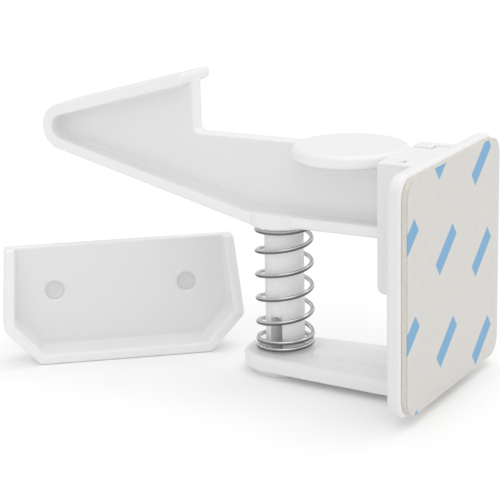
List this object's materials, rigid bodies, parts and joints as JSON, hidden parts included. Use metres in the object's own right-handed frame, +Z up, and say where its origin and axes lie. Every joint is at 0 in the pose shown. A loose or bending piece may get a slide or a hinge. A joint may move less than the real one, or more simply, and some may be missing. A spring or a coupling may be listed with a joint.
{
  "type": "cabinet safety lock",
  "caption": "Child-safety cabinet lock: spring-loaded hook arm with a round thumb pad, sliding on an adhesive back plate, with a separate screw-on catch plate.",
  "frame": {"origin": "centre of the adhesive pad's outer face", "axes": "+X out of the adhesive face, away from the arm, +Z up, opposite to the way the thumb pad is pressed; the hook points to -X"},
  "size_m": [0.082, 0.042, 0.0525],
  "materials": {
    "white_plastic": "satin",
    "spring_steel": "polished",
    "foam": "matte",
    "liner_paper": "satin"
  },
  "bodies": {
    "base": {"base_bracket": "white_plastic", "spring": "spring_steel", "foam_tape": "foam", "release_liner": "liner_paper", "catch_plate": "white_plastic"},
    "arm": {"latch_arm": "white_plastic"}
  },
  "joints": [
    {"name": "arm_press", "type": "slide", "parent": "base", "child": "arm", "axis": [0, 0, -1], "range_m": [0, 0.0075], "stiffness_N_per_m": 900, "springref_m": -0.008, "deforming": ["spring"]}
  ]
}
